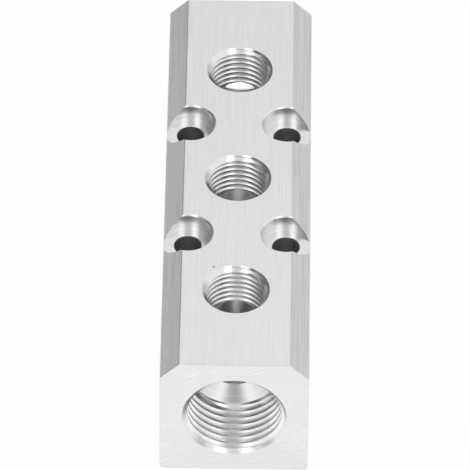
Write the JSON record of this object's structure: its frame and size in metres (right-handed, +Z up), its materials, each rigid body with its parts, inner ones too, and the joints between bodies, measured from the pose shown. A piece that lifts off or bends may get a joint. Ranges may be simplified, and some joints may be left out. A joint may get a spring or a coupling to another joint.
{
  "type": "air manifold block",
  "caption": "Square aluminium bar with bevelled top edges, tapped inlet ports in both ends, tapped outlets along the top and counterbored screw holes between them.",
  "frame": {"origin": "centre of the block's base", "axes": "+X across the bar, +Y along the bar, +Z up through the outlets"},
  "size_m": [0.03, 0.108, 0.03],
  "materials": {
    "block": "milled bare aluminium, finely brushed along the bar"
  },
  "bodies": {
    "root": {"manifold_block": "block"}
  },
  "joints": []
}
